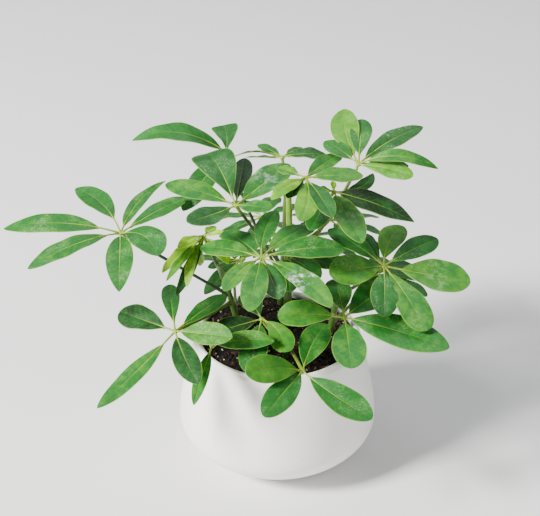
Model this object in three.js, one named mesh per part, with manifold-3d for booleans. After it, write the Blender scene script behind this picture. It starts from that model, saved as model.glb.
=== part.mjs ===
// Potted umbrella plant: a round-bellied ceramic pot filled with soil, five stems standing in
// it, and compound fronds, each a petiole with a whorl of leaflets. Millimetres, +Z up.
// The origin is the centre of the pot's flat underside. +X is to the right and +Y away from
// someone who looks at the plant's front.
import * as THREE from "three";
import { mergeVertices } from "three/addons/utils/BufferGeometryUtils.js";
import Module from "manifold-3d";

const wasm = await Module();
wasm.setup();

// Pot: its outer profile is two cubic curves that meet at the belly. Each handle is the step
// from an end of its curve to the control point, outwards and upwards.
const POT_HEIGHT = 91;
const POT_WALL = 3.6;
const FOOT_RADIUS = 34.5;
const FOOT_HANDLE = [7.5, 3.8];
const BELLY_RADIUS = 65.8;
const BELLY_HEIGHT = 30;
const BELLY_HANDLES = [-15, 14];
const RIM_RADIUS = 54;
const RIM_HANDLE = [4, -14.5];
const LIP_DEPTH = 1.6;
const LIP_FLARE = 0.3;
const LIP_ROUNDING = [0.9, 0.2];
const FLOOR_THICKNESS = 6;
const FLOOR_CORNER_HEIGHT = 3;
const FLOOR_CORNER_SLOPE = 0.7;
const POT_SIDES = 32;
const POT_STEPS = 5;

// Soil: its top swells by the mound. Each step of the mound is a share of the soil's radius
// and of the mound's height.
const SOIL_HEIGHT = 87;
const SOIL_MOUND = 1;
const MOUND_STEPS = [[0.72, 0.7], [0.36, 1], [0, 1]];
const FIT_GAP = 0.3;
const HOLE_SLACK = 0.6;
const HOLE_OVERRUN = 6;

// Stems: the foot stands in the soil, the bend is the curve's middle handle.
const STEM_SIDES = 8;
const STEM_STEPS = 6;
const STEM_FOOT_HEIGHT = 48;
const STEMS = {
  left: { foot: [-18, 6], bend: [-26, 4, 105], top: [-38, 0, 142], radii: [2.6, 1.7] },
  centre: { foot: [4, 14], bend: [9, 10, 130], top: [6.5, 4, 196], radii: [3.2, 1.7] },
  right: { foot: [30, 6], bend: [34, 2, 100], top: [44, 0, 138], radii: [2.6, 1.7] },
  front: { foot: [5, -20], bend: [6, -24, 85], top: [4, -30, 107], radii: [2.2, 1.6] },
  back: { foot: [0, 34], bend: [4, 44, 110], top: [6, 58, 172], radii: [2.6, 1.6] },
};

// Fronds
const HUB_RADIUS = 2.4;
const STALK_ROOT = 1.4;
const PETIOLE_RADIUS = 1.25;
const PETIOLE_FOOT_SWELL = 1.35;
const PETIOLE_SIDES = 6;
const PETIOLE_STEPS = 3;
const BLADE_THICKNESS = 0.8;
const BLADE_FOLD = 8;
const STALK_HALF_WIDTH = 0.75;
const STALK_THICKNESS = 1.4;
const TIP_HALF_WIDTH = 0.9;
const BLADE_STATIONS = [0.24, 0.54, 0.84];

// A blade swells along its length u as u to the root power times (1 - u) to the tip power.
// Each power is [its value at bluntness 0, what bluntness 1 adds].
const ROOT_POWER = [0.72, 0.3];
const TIP_POWER = [0.85, -0.4];

// A leaflet is [bearing and rise of its tip from the hub in degrees, reach, width, bluntness,
// which is 0 if pointed and 1 if round, stalk length, arch, roll in degrees, sweep]. Arch and sweep are shares of the
// reach by which the midrib bows upwards and to its left. Values left out take these.
const PLAIN_LEAFLET = [0, 0, 50, 20, 0.5, 6, 0.05, 0, 0];

// Each frond: its hub, how far and towards which bearing its whorl tilts, the stem and the
// height on it where the petiole starts, how far the petiole sags, and its leaflets.
const FRONDS = [
  {
    name: "frond_far_left", hub: [-96.5, -15, 172], tilt: [18, -90], stem: "left", at: 117,
    sag: 0, leaflets: [
      [179, 2, 72, 17, 0.2, 13, 0.1],
      [-148, -6, 62, 14, 0.3, 10, 0.09],
      [128, 11, 54, 16, 0.4, 13, 0.04, 0, -0.08],
      [64, 13, 57, 9, -0.3, 7, 0.02, 0, 0.07],
      [40, 10, 50, 13, 0.7, 7, 0.04],
      [-53, 4, 42, 21, 0.5, 3, 0.08, 0, 0.12],
      [-86, -14, 51, 17, 0, 3],
    ],
  },
  {
    name: "frond_low_left", hub: [-63, -45, 120], tilt: [22, -100], stem: "left", at: 112,
    sag: 2, leaflets: [
      [143.7, -3, 46, 19, 0.8, 8, 0],
      [98, 5, 50, 12, 0.8, 8],
      [51.6, 4.5, 48, 13, 0.7, 7, 0.02],
      [-20, 6, 38, 17, 0.4, 4, 0.02],
      [-68, -15.5, 44, 16, 0.4, 5, 0.03, 0, -0.03],
      [-132, -19, 69, 13, 0.3, 12, 0.01, 0, 0.02],
    ],
  },
  {
    name: "frond_upper_left", hub: [-26, -5, 186], tilt: [20, -90], stem: "centre", at: 128,
    sag: 0, leaflets: [
      [114, 19, 52, 27, 0.9, 5, 0.14],
      [156, 6, 49, 16, 0.5, 6, 0.06],
      [-138.5, 2.6, 38, 16, 0.5, 4, -0.02],
      [49, 11.4, 52, 20, 0.4, 6, 0.04, 0, -0.02],
      [-50, 17, 35, 13, 0.5, 4, 0.04],
      [84, 13, 48, 14, 0.5, 6, 0.04],
    ],
  },
  {
    name: "frond_top_left", hub: [-33.4, 48, 198], tilt: [20, -90], stem: "centre", at: 118,
    sag: 14, leaflets: [
      [173, 4.5, 62, 16, 0.1, 3, 0.2],
      [95, 17, 27, 18, 1, 1, 0.05, 0, -0.05],
      [-129, -31, 50, 18, 0.3, 6],
    ],
  },
  {
    name: "frond_middle", hub: [-10, -35, 166], tilt: [12, -100], stem: "centre", at: 120,
    sag: 8, leaflets: [
      [155, -3, 42, 16, 0.4, 7, 0.06],
      [124, 0, 42, 18, 0.5, 5],
      [80, 6, 53, 14, 0.5, 7, 0.03, 0, 0.05],
      [47, 4, 50, 17, 0.4, 8, 0.04, 0, 0.04],
      [8, 2, 51, 19, 0.5, 7, 0.08],
      [-52, -3, 65, 15, 0.5, 8, 0.05, 0, 0.04],
      [-74, -10, 39, 16, 0.4, 6],
      [-97, -6, 53, 16, 0.5, 5],
      [-124, -6, 39, 11.5, 0.5, 5, 0.05, 0, -0.04],
    ],
  },
  {
    name: "frond_crown", hub: [17, 5, 200], tilt: [16, -60], stem: "centre", at: 193,
    sag: 0, leaflets: [
      [-96, -12, 42, 14.5, 0.5, 4, 0.05, 0, 0.07],
      [5, 0, 36, 14, 0.4, 5, 0.04],
      [59, -2, 46, 13, 0.4, 3, 0.04],
      [-126, 3, 35, 10, 0.4, 4],
      [150, 6, 20, 10, 0.5, 5],
      [-119, -8, 24, 9, 0.4, 4],
      [-68, -11, 41, 13, 0.5, 6],
    ],
  },
  {
    name: "frond_top_right", hub: [51, 25, 200], tilt: [22, -110], stem: "centre", at: 135,
    sag: 15, leaflets: [
      [97, 14.4, 58, 19, 0.5, 9, 0.02, 0, 0.05],
      [83.7, 15.3, 46, 15, 0.6, 8],
      [33, 15, 53, 15, 0.3, 6, 0.04, 0, 0.04],
      [-12, 2, 50, 11, 0.1, 6, 0.19],
      [-28, 0, 37, 13, 0.7, 3],
      [14, -8, 34, 12, 0.5, 6],
      [129, 8.3, 33, 13, 0.5, 6],
    ],
  },
  {
    name: "frond_right", hub: [66, -15, 149], tilt: [24, -70], stem: "right", at: 118,
    sag: 3, leaflets: [
      [70, 7, 46, 17, 0.7, 6, 0.03, 0, 0.08],
      [38.5, 4.5, 47, 16, 0.6, 6],
      [-5, -9, 55, 26, 0.6, 11, -0.01],
      [-156, 4, 38, 23, 0.6, 3, 0.04],
      [-67, -15, 58, 20, 0.9, 8],
      [-94, -12, 46, 18, 0.5, 8],
      [135, 10, 48, 15, 0.5, 6],
      [106, 9, 35, 12, 0.5, 5, 0.05, 0, 0.08],
    ],
  },
  {
    name: "frond_low_right", hub: [40.5, -45, 130], tilt: [22, -90], stem: "right", at: 103,
    sag: 4, leaflets: [
      [174, -1, 41, 21, 0.7, 7],
      [-25, -3, 67, 24.5, 0.4, 5, 0.03],
      [-88, -6, 48, 21, 0.7, 7],
      [46, 4, 53, 24, 0.5, 4],
      [96, 6, 40, 17, 0.5, 6],
    ],
  },
  {
    name: "frond_front", hub: [15, -62, 102], tilt: [28, -80], stem: "front", at: 103,
    sag: -2, leaflets: [
      [71, 6, 49, 18, 0.5, 5, 0.02, 0, 0.04],
      [-145, 18, 43, 20, 0.7, 3, 0.04, 0, -0.06],
      [-119, -4, 48, 18, 0.6, 3],
      [-38, -13, 53, 20, 0.6, 6, 0.01, 0, -0.03],
    ],
  },
  {
    name: "frond_low_centre", hub: [-10, -20, 113], tilt: [10, -100], stem: "front", at: 96,
    sag: 2, leaflets: [
      [-163, -9, 34, 18, 0.5, 4, 0.03],
      [113, 4, 32, 15, 0.5, 4],
      [-65, -8, 33, 15.5, 1, 3, 0.05, 0, 0.11],
      [-100, -13, 46.6, 18, 0.6, 5, 0.04],
    ],
  },
  {
    name: "frond_upper_right", hub: [35.4, 15, 185.4], tilt: [16, -60], stem: "centre", at: 156,
    sag: 4, leaflets: [
      [-21, -12, 54, 20, -0.2, 4, 0.03, 0, 0.03],
      [-73, -11, 52, 18.5, 0.4, 4, 0.05, 0, -0.03],
      [47, -0.5, 39, 9, 0.2, 8, 0, 0, -0.14],
      [-110, -4, 48, 15, 0.5, 8],
      [-140, 23, 15, 6, 0.5, 3, 0.08],
      [93, 25, 9, 4, 0.5, 2],
    ],
  },
  {
    name: "frond_young", hub: [-47, 5, 159], tilt: [5, 60], stem: "left", at: 130,
    sag: 0, leaflets: [
      [-128.4, -12.5, 40, 10, 0.3, 4, 0.06],
      [-119, 10, 30, 8, 0.3, 5, 0.1],
      [-102, -18, 43, 8, 0.3, 7, 0.05, 0, -0.04],
      [-109, -21, 49, 8, 0.3, 6, 0.05, 0, 0.03],
      [-47, -22, 26, 11, 0.3, 3, 0.08],
      [-15, 13, 18, 8, 0.3, 4, 0.1],
      [61, 5, 14, 7, 0.4, 3],
      [-116, -9, 48, 6, 0.1, 10, 0.04],
      [-95, -28, 22, 4, 0.5, 15],
    ],
  },
  {
    name: "frond_top_back", hub: [3, 55, 191], tilt: [6, -90], stem: "back", at: 170,
    sag: 0, leaflets: [
      [141, 9, 21, 8, 0.4, 2],
      [41, 6, 18, 8, 0.4, 4],
      [-178, 3, 31, 5, 0.3, 4, 0.12, 30],
      [-179, 1, 23.6, 5, 0.3, 4, 0.03, 30],
      [4, 0, 30, 13, 0.3, 4, 0.08],
    ],
  },
  {
    name: "frond_low_rim", hub: [-40.6, -42, 107.5], tilt: [16, -90], stem: "left", at: 97,
    sag: 2, leaflets: [
      [-9, 10.6, 39.6, 15, 0.2, 4, 0.08],
      [-103, -18, 46, 9, 0.3, 6],
    ],
  },
  {
    name: "frond_inner", hub: [4.6, 0, 149], tilt: [20, -70], stem: "centre", at: 133,
    sag: 0, leaflets: [
      [-42, -12, 30, 16, 0.5, 5],
      [-10, -10, 34, 13, 0.5, 5],
      [17, -12, 38, 13, 0.5, 5],
      [-84, -23, 30, 14, 0.5, 5],
    ],
  },
  {
    name: "frond_inner_left", hub: [-22.6, 24, 132], tilt: [20, -110], stem: "left", at: 121,
    sag: 0, leaflets: [
      [-138, -22, 36, 12, 0.3, 5],
      [-175, -12, 24, 9, 0.4, 5],
    ],
  },
];

// Fronds behind the others carry evenly spread leaflets, drawn by one rule:
// [name, hub, tilt, stem, height on it, sag, leaflets, first bearing, last bearing, reach].
const BACK_FRONDS = [
  ["frond_back_middle", [-10, 76, 136], [14, 100], "back", 112, 6, 6, 40, 260, 40],
  ["frond_back_right", [36, 68, 138], [14, 70], "back", 124, 6, 6, -60, 150, 38],
  ["frond_back_low", [16, 92, 110], [18, 80], "back", 96, 4, 6, -20, 200, 42],
  ["frond_back_left", [-30, 46, 116], [16, 120], "left", 98, 6, 4, 40, 150, 34],
  ["frond_side_right", [64, 34, 114], [16, 20], "right", 96, 6, 6, -60, 110, 40],
];
const BACK_RISE = -9;
const BACK_WIDTH = 17;
const BACK_BLUNT = 0.5;
const BACK_STALK = 6;
const BACK_SPREAD = { bearing: 6, rise: 4, reach: 0.12, width: 0.1 };

const rad = THREE.MathUtils.degToRad;

// Unit vector at a bearing from +X round to +Y, and a rise above the horizontal, in degrees.
function direction(bearing, rise) {
  const level = Math.cos(rad(rise));
  return new THREE.Vector3(
    level * Math.cos(rad(bearing)),
    level * Math.sin(rad(bearing)),
    Math.sin(rad(rise)),
  );
}

// Steady value between -1 and 1 for a whole number, for spreading like pieces unevenly.
function wobble(n) {
  return Math.sin(n * 12.9898);
}

function solidFrom(geometry) {
  const bare = geometry.clone();
  bare.deleteAttribute("normal");
  bare.deleteAttribute("uv");
  const merged = mergeVertices(bare, 1e-4);
  return new wasm.Manifold(new wasm.Mesh({
    numProp: 3,
    vertProperties: new Float32Array(merged.attributes.position.array),
    triVerts: new Uint32Array(merged.index.array),
  }));
}

function geometryFrom(solid) {
  const mesh = solid.getMesh();
  const geometry = new THREE.BufferGeometry();
  geometry.setAttribute("position", new THREE.BufferAttribute(mesh.vertProperties, 3));
  geometry.setIndex(new THREE.BufferAttribute(mesh.triVerts, 1));
  return geometry;
}

function named(name, geometry, material) {
  const mesh = new THREE.Mesh(geometry, material);
  mesh.name = name;
  return mesh;
}

// A closed round tube along a curve, its radius going evenly from the first to the second.
function taperedTube(curve, radii, sides, steps) {
  const positions = [];
  const index = [];
  const frames = curve.computeFrenetFrames(steps, false);
  for (let step = 0; step <= steps; step += 1) {
    const share = step / steps;
    const centre = curve.getPointAt(share);
    const radius = THREE.MathUtils.lerp(radii[0], radii[1], share);
    for (let side = 0; side < sides; side += 1) {
      const angle = (side / sides) * Math.PI * 2;
      const point = centre.clone()
        .addScaledVector(frames.normals[step], Math.cos(angle) * radius)
        .addScaledVector(frames.binormals[step], Math.sin(angle) * radius);
      positions.push(point.x, point.y, point.z);
    }
  }
  for (let step = 0; step < steps; step += 1) {
    for (let side = 0; side < sides; side += 1) {
      const a = step * sides + side;
      const b = step * sides + ((side + 1) % sides);
      index.push(a, b, b + sides, a, b + sides, a + sides);
    }
  }
  const last = steps * sides;
  for (let side = 1; side < sides - 1; side += 1) {
    index.push(0, side + 1, side, last, last + side, last + side + 1);
  }
  const geometry = new THREE.BufferGeometry();
  geometry.setAttribute("position", new THREE.Float32BufferAttribute(positions, 3));
  geometry.setIndex(index);
  return geometry;
}

// Pot

// The outer profile: a low curve from the foot to the belly, then one up to the rim.
function potCurve() {
  const low = new THREE.CubicBezierCurve(
    new THREE.Vector2(FOOT_RADIUS, 0),
    new THREE.Vector2(FOOT_RADIUS + FOOT_HANDLE[0], FOOT_HANDLE[1]),
    new THREE.Vector2(BELLY_RADIUS, BELLY_HEIGHT + BELLY_HANDLES[0]),
    new THREE.Vector2(BELLY_RADIUS, BELLY_HEIGHT),
  );
  const high = new THREE.CubicBezierCurve(
    new THREE.Vector2(BELLY_RADIUS, BELLY_HEIGHT),
    new THREE.Vector2(BELLY_RADIUS, BELLY_HEIGHT + BELLY_HANDLES[1]),
    new THREE.Vector2(RIM_RADIUS + RIM_HANDLE[0], POT_HEIGHT + RIM_HANDLE[1]),
    new THREE.Vector2(RIM_RADIUS, POT_HEIGHT),
  );
  return low.getPoints(POT_STEPS).concat(high.getPoints(POT_STEPS).slice(1));
}

// The wall's inside, a distance in from the outer profile, from the floor up to a height.
function innerCurve(inset, floor, top) {
  const outer = potCurve();
  const inner = [];
  for (let i = 1; i < outer.length - 1; i += 1) {
    const along = outer[i + 1].clone().sub(outer[i - 1]).normalize();
    const point = new THREE.Vector2(outer[i].x - along.y * inset, outer[i].y + along.x * inset);
    if (point.y > floor + FLOOR_CORNER_HEIGHT && point.y < top - FLOOR_CORNER_HEIGHT) {
      inner.push(point);
    }
  }
  const floorRadius = inner[0].x - (inner[0].y - floor) * FLOOR_CORNER_SLOPE;
  const rim = new THREE.Vector2(RIM_RADIUS - inset, POT_HEIGHT);
  const highest = inner[inner.length - 1];
  const share = (top - highest.y) / (rim.y - highest.y);
  inner.unshift(new THREE.Vector2(floorRadius, floor));
  inner.push(highest.clone().lerp(rim, share));
  return inner;
}

function potGeometry() {
  const outer = potCurve();
  const rim = outer.pop();
  const [lipIn, lipDown] = LIP_ROUNDING;
  const inner = innerCurve(POT_WALL, FLOOR_THICKNESS, POT_HEIGHT - LIP_DEPTH);
  const profile = [
    new THREE.Vector2(0, 0),
    ...outer,
    new THREE.Vector2(rim.x + LIP_FLARE, POT_HEIGHT - LIP_DEPTH),
    new THREE.Vector2(rim.x - lipIn, POT_HEIGHT - lipDown),
    new THREE.Vector2(rim.x - POT_WALL / 2, POT_HEIGHT),
    new THREE.Vector2(rim.x - POT_WALL + lipIn, POT_HEIGHT - lipDown),
    ...inner.reverse(),
    new THREE.Vector2(0, FLOOR_THICKNESS),
  ];
  const geometry = new THREE.LatheGeometry(profile, POT_SIDES);
  geometry.rotateX(Math.PI / 2);
  return geometry;
}

// Stems

function stemCurve(stem) {
  return new THREE.QuadraticBezierCurve3(
    new THREE.Vector3(stem.foot[0], stem.foot[1], STEM_FOOT_HEIGHT),
    new THREE.Vector3(...stem.bend),
    new THREE.Vector3(...stem.top),
  );
}

function stemSolid(stem, grown) {
  const radii = stem.radii.map((radius) => radius + grown);
  return solidFrom(taperedTube(stemCurve(stem), radii, STEM_SIDES, STEM_STEPS));
}

// The point on a stem's middle line at a height.
function stemPoint(stem, height) {
  const points = stemCurve(stem).getPoints(60);
  const after = points.findIndex((point) => point.z >= height);
  const before = points[after - 1];
  const share = (height - before.z) / (points[after].z - before.z);
  return before.clone().lerp(points[after], share);
}

// Soil

function soilSolid() {
  const side = innerCurve(POT_WALL + FIT_GAP, FLOOR_THICKNESS + FIT_GAP, SOIL_HEIGHT);
  const edge = side[side.length - 1];
  const profile = [
    new THREE.Vector2(0, FLOOR_THICKNESS + FIT_GAP),
    ...side,
    ...MOUND_STEPS.map(([out, up]) => new THREE.Vector2(edge.x * out, SOIL_HEIGHT + SOIL_MOUND * up)),
  ];
  const geometry = new THREE.LatheGeometry(profile, POT_SIDES);
  geometry.rotateX(Math.PI / 2);
  let soil = solidFrom(geometry);
  for (const stem of Object.values(STEMS)) {
    const start = new THREE.Vector3(stem.foot[0], stem.foot[1], STEM_FOOT_HEIGHT);
    const exit = stemPoint(stem, SOIL_HEIGHT + SOIL_MOUND + HOLE_OVERRUN);
    const lean = exit.clone().sub(start).normalize();
    start.addScaledVector(lean, -FIT_GAP);
    const bore = stem.radii[0] + FIT_GAP + HOLE_SLACK;
    const hole = taperedTube(new THREE.LineCurve3(start, exit), [bore, bore], STEM_SIDES, 1);
    soil = soil.subtract(solidFrom(hole));
  }
  return soil;
}

// Fronds

// A leaflet's blade and stalk, as one closed loft of six-sided rings from the hub to the tip.
function leafletSolid(hub, axis, given) {
  const row = given.concat(PLAIN_LEAFLET.slice(given.length));
  const [bearing, rise, reach, width, blunt, stalk, arch, roll, sweep] = row;
  const ahead = direction(bearing, rise);
  const up = axis.clone().addScaledVector(ahead, -axis.dot(ahead)).normalize();
  up.applyAxisAngle(ahead, rad(roll));
  const left = up.clone().cross(ahead);

  const midrib = (t) => {
    const bow = 4 * t * (1 - t) * reach;
    return hub.clone()
      .addScaledVector(ahead, reach * t)
      .addScaledVector(up, arch * bow)
      .addScaledVector(left, sweep * bow);
  };
  const rootPower = ROOT_POWER[0] + ROOT_POWER[1] * blunt;
  const tipPower = TIP_POWER[0] + TIP_POWER[1] * blunt;
  const swell = (u) => u ** rootPower * (1 - u) ** tipPower;
  const widest = swell(rootPower / (rootPower + tipPower));

  const bladeStart = stalk / reach;
  const rings = [
    [STALK_ROOT / reach, STALK_HALF_WIDTH, STALK_THICKNESS, 0],
    [bladeStart, STALK_HALF_WIDTH, STALK_THICKNESS, 0],
  ];
  for (const u of BLADE_STATIONS) {
    const half = (width / 2) * (swell(u) / widest);
    rings.push([bladeStart + (1 - bladeStart) * u, half, BLADE_THICKNESS, rad(BLADE_FOLD)]);
  }
  rings.push([1, TIP_HALF_WIDTH, BLADE_THICKNESS, 0]);

  const positions = [];
  for (const [t, half, thickness, fold] of rings) {
    const centre = midrib(t);
    const along = midrib(Math.min(1, t + 0.01)).sub(midrib(Math.max(0, t - 0.01))).normalize();
    const side = left.clone().addScaledVector(along, -left.dot(along)).normalize();
    const facing = along.clone().cross(side);
    const columns = [1, 0, -1].map((across) => centre.clone()
      .addScaledVector(side, across * half * Math.cos(fold))
      .addScaledVector(facing, Math.abs(across) * half * Math.sin(fold)));
    const top = columns.map((p) => p.clone().addScaledVector(facing, thickness / 2));
    const bottom = columns.map((p) => p.clone().addScaledVector(facing, -thickness / 2));
    for (const point of [...top, ...bottom.reverse()]) {
      positions.push(point.x, point.y, point.z);
    }
  }

  // Ring order is left, middle, right on top, then right, middle, left below. Upper and lower
  // faces are split along the same diagonal.
  const index = [];
  for (let ring = 0; ring < rings.length - 1; ring += 1) {
    for (let k = 0; k < 6; k += 1) {
      const a = ring * 6 + k;
      const b = ring * 6 + ((k + 1) % 6);
      if (k === 3 || k === 4) {
        index.push(a, b + 6, a + 6, a, b, b + 6);
      } else {
        index.push(a, b, a + 6, b, b + 6, a + 6);
      }
    }
  }
  const end = (rings.length - 1) * 6;
  index.push(0, 5, 4, 0, 4, 1, 1, 4, 3, 1, 3, 2);
  index.push(end, end + 4, end + 5, end, end + 1, end + 4);
  index.push(end + 1, end + 3, end + 4, end + 1, end + 2, end + 3);
  const geometry = new THREE.BufferGeometry();
  geometry.setAttribute("position", new THREE.Float32BufferAttribute(positions, 3));
  geometry.setIndex(index);
  return solidFrom(geometry);
}

// The leaf stalk from its stem's middle line up to the hub; its foot is then cut clear.
function petioleSolid(frond, hub) {
  const foot = stemPoint(STEMS[frond.stem], frond.at);
  const handle = foot.clone().lerp(hub, 0.5);
  handle.z -= frond.sag;
  const curve = new THREE.QuadraticBezierCurve3(foot, handle, hub);
  const radii = [PETIOLE_RADIUS * PETIOLE_FOOT_SWELL, PETIOLE_RADIUS];
  return solidFrom(taperedTube(curve, radii, PETIOLE_SIDES, PETIOLE_STEPS));
}

function frondSolid(frond) {
  const hub = new THREE.Vector3(...frond.hub);
  const axis = direction(frond.tilt[1], 90 - frond.tilt[0]);
  const knob = new THREE.IcosahedronGeometry(HUB_RADIUS, 0);
  knob.translate(hub.x, hub.y, hub.z);
  let solid = solidFrom(knob).add(petioleSolid(frond, hub));
  for (const leaflet of frond.leaflets) {
    solid = solid.add(leafletSolid(hub, axis, leaflet));
  }
  return solid.subtract(stemSolid(STEMS[frond.stem], FIT_GAP));
}

function backFrond([name, hub, tilt, stem, at, sag, count, first, last, reach]) {
  const leaflets = [];
  for (let i = 0; i < count; i += 1) {
    const even = first + ((last - first) * i) / (count - 1);
    const bearing = even + BACK_SPREAD.bearing * wobble(i + reach);
    const rise = BACK_RISE + BACK_SPREAD.rise * wobble(i + 3);
    const length = reach * (1 + BACK_SPREAD.reach * wobble(i + count));
    const width = BACK_WIDTH * (1 + BACK_SPREAD.width * wobble(i + at));
    leaflets.push([bearing, rise, length, width, BACK_BLUNT, BACK_STALK]);
  }
  return { name, hub, tilt, stem, at, sag, leaflets };
}

// Materials

const ceramic = new THREE.MeshStandardMaterial({ color: 0xebe8e4, roughness: 0.45, metalness: 0 });
const soilMatter = new THREE.MeshStandardMaterial({ color: 0x3b2418, roughness: 1, metalness: 0 });
const bark = new THREE.MeshStandardMaterial({ color: 0x6f8a3c, roughness: 0.7, metalness: 0 });

function leafMaterial(color) {
  return new THREE.MeshStandardMaterial({ color, roughness: 0.4, metalness: 0 });
}

const plant = new THREE.Group();
plant.add(named("pot", potGeometry(), ceramic));
plant.add(named("soil", geometryFrom(soilSolid()), soilMatter));
for (const [place, stem] of Object.entries(STEMS)) {
  plant.add(named(`stem_${place}`, geometryFrom(stemSolid(stem, 0)), bark.clone()));
}
for (const frond of [...FRONDS, ...BACK_FRONDS.map(backFrond)]) {
  const colour = frond.name === "frond_young" ? 0xa9bf3f : 0x4f8f3c;
  plant.add(named(frond.name, geometryFrom(frondSolid(frond)), leafMaterial(colour)));
}

export default plant;
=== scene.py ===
"""A potted umbrella plant: its stoneware pot, soil, stems and compound fronds, on a plain floor.

Lengths in this file are millimetres unless a name says otherwise, and each piece is turned to
metres when it is finished. +Z is up, +X to the right and +Y away from the plant's front.
"""
import math
import random
from collections import namedtuple
from functools import partial

import bmesh
import bpy
from bpy.props import FloatProperty, FloatVectorProperty, IntProperty, PointerProperty
from mathutils import Matrix, Quaternion, Vector, noise
from mathutils.geometry import interpolate_bezier


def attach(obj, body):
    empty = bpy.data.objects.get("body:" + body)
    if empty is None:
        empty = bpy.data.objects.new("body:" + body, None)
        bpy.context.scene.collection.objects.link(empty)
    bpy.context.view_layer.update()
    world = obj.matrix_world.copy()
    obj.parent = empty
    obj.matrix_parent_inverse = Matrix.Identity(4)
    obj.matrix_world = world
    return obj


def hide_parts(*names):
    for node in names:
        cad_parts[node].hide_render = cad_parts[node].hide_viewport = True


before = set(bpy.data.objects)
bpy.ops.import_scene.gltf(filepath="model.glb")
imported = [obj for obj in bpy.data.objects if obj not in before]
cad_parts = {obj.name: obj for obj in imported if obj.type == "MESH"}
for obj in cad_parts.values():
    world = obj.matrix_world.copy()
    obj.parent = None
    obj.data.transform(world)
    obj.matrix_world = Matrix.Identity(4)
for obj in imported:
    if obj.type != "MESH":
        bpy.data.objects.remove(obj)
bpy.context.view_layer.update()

bl_info = {
    "name": "Potted Umbrella Plant",
    "version": (1, 0, 0),
    "blender": (4, 5, 0),
    "location": "View3D > Sidebar > Plant",
    "description": "Models an umbrella plant in a stoneware pot",
    "category": "Add Mesh",
}

MM = 0.001
SEED = 11
SHARP_EDGE = math.radians(50)
# Step along a path, as a share of it, that tells which way the path runs
NEAR = 0.01
MERGE_DISTANCE = 1e-4

# Pot: two cubic curves that meet at the belly; a handle is a step from a curve's end
POT_HEIGHT = 91.0
POT_WALL = 3.6
FOOT_RADIUS = 34.5
FOOT_RING = 4.0
FOOT_HANDLE = (7.5, 3.8)
BELLY_RADIUS = 65.8
BELLY_HEIGHT = 30.0
BELLY_HANDLES = (-15.0, 14.0)
RIM_RADIUS = 54.0
RIM_HANDLE = (4.0, -14.5)
POT_FLOOR = 6.0
POT_CURVE_STEPS = 22
POT_TURN_STEPS = 144
POT_MERGE_DISTANCE = 1e-3
LIP_STEPS = 8
FLOOR_CORNER_HEIGHT = 3.0
FLOOR_CORNER_SLOPE = 0.7
BARE_CLAY_HEIGHT = 0.1

# Soil
SOIL_HEIGHT = 87.0
SOIL_MOUND = 1.0
SOIL_GAP = 0.3
SOIL_TOP_STEPS = 46
SOIL_TURN_STEPS = 150
SOIL_TOP_TOLERANCE = 0.01
SOIL_LUMP = 5.5
SOIL_LUMP_HEIGHT = 0.8
# Loss of height, gain of fineness and number of the layers of lumps
SOIL_LUMP_LAYERS = (0.7, 2.1, 5)

# Loose lumps on the soil: their sizes, their flatness, how far they stay from the soil's edge,
# and how broken they are
Lumps = namedtuple("Lumps", "sizes flatness margin jitter")
CRUMBS = Lumps((0.5, 1.3), (0.5, 0.9), 1.5, 0.2)
CHIPS = Lumps((0.9, 2.6), (0.18, 0.4), 3, 0.16)
GRAINS = Lumps((0.4, 1.1), (0.6, 0.95), 2, 0.18)
LUMP_TILT = 0.4
LUMP_TURN = 6
LUMP_BREADTH = (0.5, 0.9)
LUMP_RISE = (0.1, 0.6)

# Stems: foot, bend and top of each middle line, and the radii at the foot and the top
Stem = namedtuple("Stem", "foot bend top radii")
STEM_FOOT_HEIGHT = 48.0
STEMS = {
    "left": Stem((-18, 6), (-26, 4, 105), (-38, 0, 142), (2.6, 1.7)),
    "centre": Stem((4, 14), (9, 10, 130), (6.5, 4, 196), (3.2, 1.7)),
    "right": Stem((30, 6), (34, 2, 100), (44, 0, 138), (2.6, 1.7)),
    "front": Stem((5, -20), (6, -24, 85), (4, -30, 107), (2.2, 1.6)),
    "back": Stem((0, 34), (4, 44, 110), (6, 58, 172), (2.6, 1.6)),
}
STEM_SIDES = 20
STEM_STEPS = 90
STEM_NODE_SPACING = 17.0
STEM_NODE_SWELL = 0.14
STEM_NODE_WIDTH = 1.3
STEM_TOP_ROUNDING = (3.2, 1.02)
STEM_SEARCH_STEPS = 30

# Petioles, hubs and leaflet stalks; a fade, where given, tells how fast a swelling goes
HUB_RADIUS = 1.9
HUB_FLATTENING = 0.35
PETIOLE_RADIUS = 1.25
PETIOLE_WAIST = 0.85
PETIOLE_FOOT_SWELL = 1.0
PETIOLE_FOOT_LENGTH = 5.0
PETIOLE_NECK = 0.1
PETIOLE_NECK_START = 0.9
PETIOLE_SIDES = 12
PETIOLE_STEPS = 36
STALK_RADIUS = 0.58
STALK_ROOT_SWELL = 0.4
STALK_ROOT_FADE = 9
STALK_END_THINNING = 0.42
STALK_THINNING_START = 0.9
STALK_SIDES = 8
STALK_STEPS = 10
STALK_OVERLAP = 0.16
# Tone of the hubs and the leaflets' stalks, and where beyond a hub the petiole takes its own
HUB_TONE = 0.55
PETIOLE_PALE_END = (2.0, 12.0)

# Blades. One swells along its length u as u to the root power times (1 - u) to the tip power;
# each power is its value at bluntness 0, and what bluntness 1 adds
ROOT_POWER = (0.72, 0.3)
TIP_POWER = (0.85, -0.4)
BLADE_THICKNESS = 0.45
BLADE_STEPS = 36
BLADE_COLUMNS = 12
COLUMN_CROWDING = 1.3
# How much of a cross-section's place goes evenly, and how much crowds to both ends
STEP_CROWDING = (0.45, 0.275)
# Fold of the halves in degrees, and its factor at the root and what the tip adds
BLADE_FOLD = 11.0
FOLD_FACTOR = (1.25, -0.6)
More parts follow.
